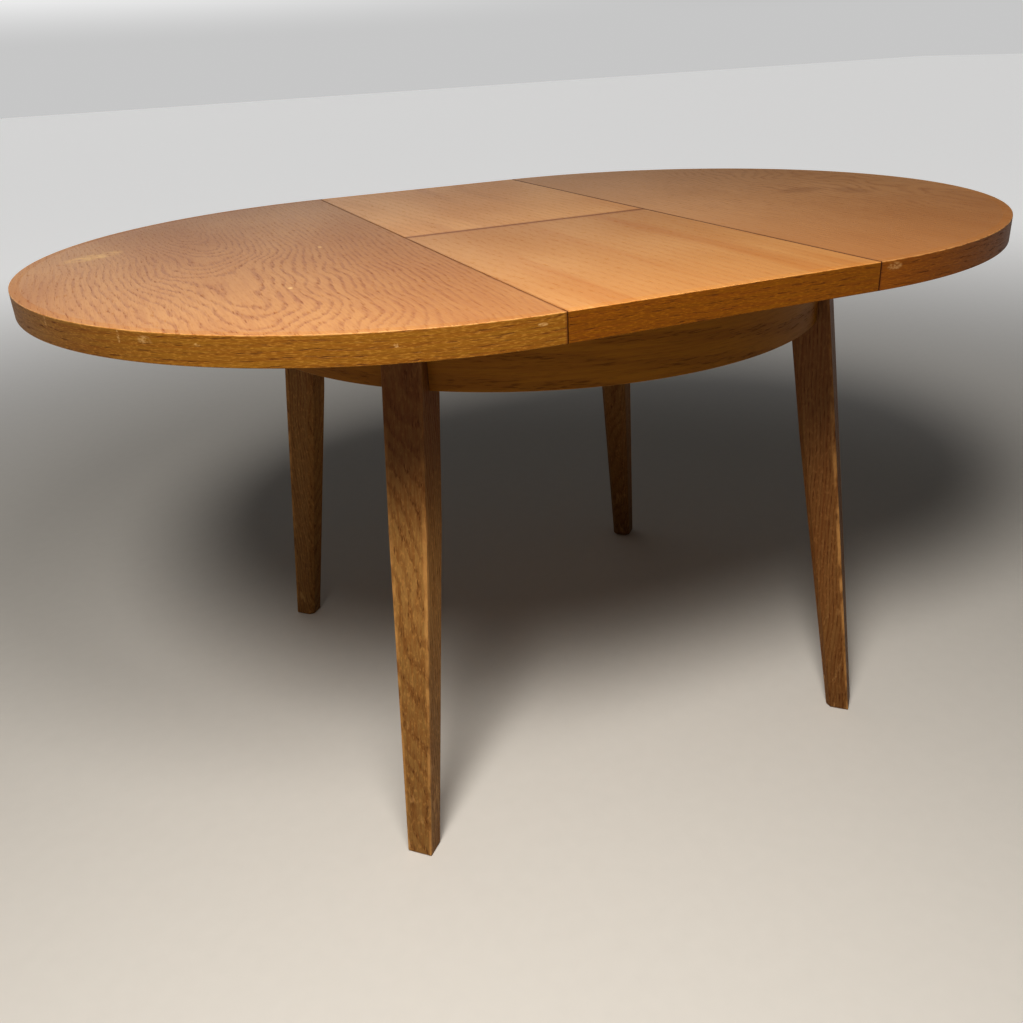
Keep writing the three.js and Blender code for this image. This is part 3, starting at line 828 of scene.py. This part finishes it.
def half_lipping_finish(side, seam, centre, outer):
    material, (x, y, z) = new_material(f"{side}_lipping_oak")
    out = ((x - centre) ** 2 + y * y) ** 0.5
    away = math.copysign(1.0, centre)
    along = y.math("ARCTAN2", y, (x - centre) * away) * outer
    tones = {
        "left": (display(125, 84, 21), display(113, 73, 12), display(172, 125, 54)),
        "right": (display(120, 68, 5), display(108, 59, 2), display(152, 95, 18)),
    }[side]
    seed = {"left": 1.3, "right": 6.1}[side]
    edge, edge_rough, edge_height = lipping_wood(z, along, out, seed, *tones)
    face, face_rough, face_height = half_veneer(side, x, y, z)
    on_face = z.ramp(TOP_FACE - 0.8 * MM, TOP_FACE - 0.4 * MM)
    wood = on_face.blend(edge, face)
    chips = out.noise(along * 160, z * 300, out * 300, detail=3.0)
    rim = outer + TOP_FACE
    # The pale line along the top arris is partly wear and partly a painted highlight.
    arris = (out + z).ramp(rim - 1.6 * MM, rim - 0.6 * MM) * chips.ramp(0.38, 0.6)
    wood = (arris * 0.4).blend(wood, display(206, 158, 98))
    if side == "left":
        pale = along.mark(z, (-0.203, 0.7335), (0.0022, 0.006))
        pale = pale + along.mark(z, (-0.335, 0.7325), (0.0022, 0.008))
        pale = pale + along.mark(z, (-0.37, 0.7315), (0.011, 0.0055), edge=0.9)
        pale = pale + along.mark(z, (-0.432, 0.73), (0.004, 0.002))
        pale = pale + along.mark(z, (-0.626, 0.726), (0.003, 0.0025))
        pale = pale + along.mark(z, (-0.767, 0.731), (0.006, 0.002))
    else:
        pale = x.mark(z, (0.21, 0.733), (0.013, 0.0055), edge=0.9)
    scuffs = out.noise(along * 300, z * 500, out * 300, detail=4.0)
    wood = (pale * scuffs.ramp(0.36, 0.66) * 0.46).blend(wood, display(196, 160, 110))
    roughness = edge_rough + on_face * (face_rough - edge_rough)
    wood, roughness = seam_dirt(wood, roughness, side, seam, x)
    height = edge_height + on_face * (face_height - edge_height)
    return finish_surface(material, wood, roughness, height, 0.0002, shine=0.15)


STRIP_ARRIS = 0.8 * MM
GLUED_ARRIS = 0.05 * MM

for side in ("left", "right"):
    low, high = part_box(f"{side}_edge_lipping")
    far, seam = (high.x, low.x) if side == "right" else (low.x, high.x)
    centre = far - math.copysign(high.y, far)
    inner, outer = arc_of(f"{side}_edge_lipping", centre)
    lipping = bent_rail(
        f"{side}_lipping_strip",
        rounded_profile(inner, outer, low.z, high.z, STRIP_ARRIS, GLUED_ARRIS),
        lambda radius: math.acos(abs(seam - centre) / radius),
        centre,
        0.0 if side == "right" else math.pi,
        CURVE_STEPS,
    )
    lipping.data.materials.append(half_lipping_finish(side, seam, centre, outer))
    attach(lipping, f"{side}_half")
    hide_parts(f"{side}_edge_lipping")


# Leaf. Two boards under straighter, golden oak veneer that has seen less light, folding on
# hinges let into the edges where they meet. The back one is the paler, and each has a strip of
# solid oak on its outer edge.
LEAF_END = 189.5 * MM
STRIP_STEPS = 24


def leaf_veneer(end, x, y, z):
    """Colour, roughness and height of a leaf piece's face veneer."""
    seed = {"front": 21.0, "back": 34.0}[end]
    pale = {"front": display(198, 144, 85), "back": display(220, 162, 97)}[end]
    deep = {"front": display(185, 128, 68), "back": display(206, 144, 79)}[end]
    spring, pores, fibres, clouds = oak_figure(
        x, y, z - TOP_FACE, 0.012, -0.5, 0.3, 0.08, seed, waver=0.4
    )
    stripes = x.noise(x * 22, y * 1.2, z + seed, detail=3.0)
    wood = clouds.ramp(0.3, 0.7).blend(pale, deep)
    wood = (stripes.ramp(0.5, 0.72) * 0.45).blend(wood, display(176, 108, 44))
    wood = (fibres.ramp(0.35, 0.7) * 0.18).blend(wood, display(176, 104, 44))
    wood = (spring * 0.12).blend(wood, display(164, 94, 38))
    wood = (pores * 0.2).blend(wood, display(140, 78, 32))
    apart = y.math("ABSOLUTE", y)
    fold = apart.ramp(0.012, 0.005)
    ends = x.math("ABSOLUTE", x).ramp(LEAF_END - 2.9 * MM, LEAF_END - 1.1 * MM) * 0.7
    seams = fold.math("MAXIMUM", fold, ends)
    wood = (seams * 0.6).blend(wood, display(142, 78, 28))
    mouth = apart.ramp(0.0018, 0.0007)
    wood = (mouth * 0.8).blend(wood, display(66, 30, 8))
    below = z.ramp(UNDERSIDE + 1.5 * MM, UNDERSIDE + 0.5 * MM)
    wood = below.blend(wood, backing_veneer(x, y, z, seed))
    roughness = 0.34 + clouds * 0.08 + pores * 0.2 + mouth * 0.5
    height = fibres * 0.2 - pores - spring * 0.2
    return wood, roughness, height


def leaf_finish(end):
    material, (x, y, z) = new_material(f"leaf_{end}_veneer")
    wood, roughness, height = leaf_veneer(end, x, y, z)
    return finish_surface(material, wood, roughness, height, 0.0002, shine=0.55)


def leaf_lipping_finish(end, outer):
    material, (x, y, z) = new_material(f"leaf_{end}_lipping_oak")
    out = y.math("ABSOLUTE", y)
    tones = (display(116, 70, 3), display(105, 61, 1), display(150, 96, 14))
    seed = {"front": 9.7, "back": 15.2}[end]
    edge, edge_rough, edge_height = lipping_wood(z, x, out, seed, *tones)
    face, face_rough, face_height = leaf_veneer(end, x, y, z)
    on_face = z.ramp(TOP_FACE - 0.8 * MM, TOP_FACE - 0.4 * MM)
    wood = on_face.blend(edge, face)
    chips = out.noise(x * 160, z * 300, out * 300, detail=3.0)
    rim = outer + TOP_FACE
    # The pale line along the top arris is partly wear and partly a painted highlight.
    arris = (out + z).ramp(rim - 1.6 * MM, rim - 0.6 * MM) * chips.ramp(0.42, 0.62)
    wood = (arris * 0.35).blend(wood, display(200, 146, 82))
    roughness = edge_rough + on_face * (face_rough - edge_rough)
    height = edge_height + on_face * (face_height - edge_height)
    return finish_surface(material, wood, roughness, height, 0.0002, shine=0.12)


def straight_rail(name, low, high, inner):
    """A strip along X with its outer long arrises rounded."""
    outer = low.y if inner == high.y else high.y
    away = math.copysign(1.0, outer)
    levels = low.z, high.z
    section = rounded_profile(abs(inner), abs(outer), *levels, STRIP_ARRIS, GLUED_ARRIS)
    rows = []
    for step in range(STRIP_STEPS + 1):
        x = low.x + (high.x - low.x) * step / STRIP_STEPS
        rows.append([(x, away * reach, level) for reach, level in section])
    return lofted(name, rows)


def board_outline(low, high, lipping, inset):
    """A leaf board: its ends and its fold edge drawn in by the inset, its far edge at the strip."""
    away = math.copysign(1.0, lipping)
    fold = away * (min(abs(low.y), abs(high.y)) + inset)
    far = lipping - away * GLUE_LINE
    left, right = low.x + inset, high.x - inset
    return [(left, fold), (right, fold), (right, far), (left, far)]


for end in ("front", "back"):
    low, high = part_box(f"leaf_{end}_panel")
    strip_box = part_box(f"leaf_{end}_lipping")
    lipping_face = strip_box[1].y if end == "front" else strip_box[0].y
    board = slab(
        f"{end}_leaf_board",
        lambda inset: board_outline(low, high, lipping_face, inset),
        low.z,
        high.z,
        BOARD_ARRIS,
    )
    for side in ("left", "right"):
        near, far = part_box(f"hinge_{side}_{end}_barrel")
        middle = (near + far) / 2
        depth = max(abs(near.y), abs(far.y)) + HOLE_GAP
        mouth = (middle.x, 0.0, middle.z)
        base = (middle.x, math.copysign(depth, middle.y), middle.z)
        bore(board, mouth, base, far.z - near.z + 2 * HOLE_GAP)
    board.data.materials.append(leaf_finish(end))
    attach(board, f"leaf_{end}")
    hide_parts(f"leaf_{end}_panel")
    low, high = strip_box
    strip = straight_rail(f"{end}_leaf_lipping", low, high, lipping_face)
    strip.data.materials.append(leaf_lipping_finish(end, max(abs(low.y), abs(high.y))))
    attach(strip, f"leaf_{end}")
    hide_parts(f"leaf_{end}_lipping")


# Studio. A pale floor that glows brighter into the distance as painted light, a large soft lamp
# high to the front left, a small one nearer over the front edge, and a pale glow behind the table
# to the left.
# The camera stands in front and to the left, a little above the top, and looks down at it.
FLOOR_REACH = 30.0
FLOOR_LEVEL = -0.2 * MM
BLACK = (0.0, 0.0, 0.0, 1.0)
WHITE = (1.0, 1.0, 1.0, 1.0)


def studio_floor():
    shell = bmesh.new()
    bmesh.ops.create_grid(shell, x_segments=1, y_segments=1, size=FLOOR_REACH)
    bmesh.ops.translate(shell, vec=(0.0, 0.0, FLOOR_LEVEL), verts=shell.verts)
    mesh = bpy.data.meshes.new("studio_floor")
    shell.to_mesh(mesh)
    shell.free()
    floor = bpy.data.objects.new("studio_floor", mesh)
    bpy.context.scene.collection.objects.link(floor)
    material, (x, y, z) = new_material("studio_floor")
    grain = x.noise(x * 40, y * 40, z, detail=3.0)
    shade = grain.blend(display(208, 203, 195), display(212, 207, 199))
    # Painted light: the floor glows, and glows more the farther it lies from the table.
    distance = (x * x + y * y) ** 0.5
    glow = (distance.ramp(1.0, 5.0) * 0.5).blend(BLACK, WHITE)
    finish_surface(material, shade, 0.8 + grain * 0.05, grain, 0.0001, shine=0.2, glow=glow)
    floor.data.materials.append(material)


def soft_lamp(name, place, radius, power, colour):
    lamp = bpy.data.lights.new(name, "POINT")
    lamp.shadow_soft_size = radius
    lamp.energy = power
    lamp.color = colour
    light = bpy.data.objects.new(name, lamp)
    light.location = place
    light.visible_camera = False
    bpy.context.scene.collection.objects.link(light)


GLOW_HEADING = math.radians(102)


def studio_sky():
    """Dim all round, and bright in a wide band above the horizon behind the table to the left."""
    sky = bpy.data.worlds.new("studio")
    sky.use_nodes = True
    tree = sky.node_tree
    tree.nodes.clear()
    x, y, z = Wire(tree, None).node("ShaderNodeTexCoord", output="Generated").axes()
    behind = (y * math.sin(GLOW_HEADING) + x * math.cos(GLOW_HEADING)).ramp(0.55, 1.0)
    low = z.ramp(0.12, 0.02)
    strength = 0.07 + behind * z.ramp(0.5, 0.0) * 1.45
    strength = strength + low * (0.62 - strength)
    light = strength.node("ShaderNodeBackground", inputs={"Strength": strength})
    light.node("ShaderNodeOutputWorld", inputs={"Surface": light})
    bpy.context.scene.world = sky


def camera_axes(heading, dip, roll):
    """Right, up and back directions of a camera by its heading from +Y, its dip and its roll."""
    ahead = Vector((
        math.cos(dip) * math.sin(heading),
        math.cos(dip) * math.cos(heading),
        -math.sin(dip),
    ))
    level_right = Vector((math.cos(heading), -math.sin(heading), 0.0))
    level_up = level_right.cross(ahead)
    right = level_right * math.cos(roll) + level_up * math.sin(roll)
    up = level_up * math.cos(roll) - level_right * math.sin(roll)
    return right, up, -ahead


CAMERA_PLACE = (-0.5965, -1.3348, 0.9674)
CAMERA_HEADING = math.radians(22.11)
CAMERA_DIP = math.radians(25.258)
CAMERA_ROLL = math.radians(-3.165)
CAMERA_LENS = 34.34
CAMERA_FILM_WIDTH = 36.0

studio_floor()
soft_lamp("window", (-1.0, -1.4, 2.2), 0.35, 165.0, (1.0, 0.98, 0.95))
soft_lamp("pendant", (-0.34, -0.91, 1.51), 0.15, 28.0, (1.0, 0.97, 0.93))
studio_sky()
bpy.context.scene.view_settings.view_transform = "Standard"
bpy.context.scene.view_settings.look = "Medium High Contrast"

lens = bpy.data.cameras.new("camera")
lens.lens = CAMERA_LENS
lens.sensor_width = CAMERA_FILM_WIDTH
camera = bpy.data.objects.new("camera", lens)
axes = Matrix(camera_axes(CAMERA_HEADING, CAMERA_DIP, CAMERA_ROLL)).transposed()
camera.matrix_world = Matrix.Translation(CAMERA_PLACE) @ axes.to_4x4()
bpy.context.scene.collection.objects.link(camera)
bpy.context.scene.camera = camera
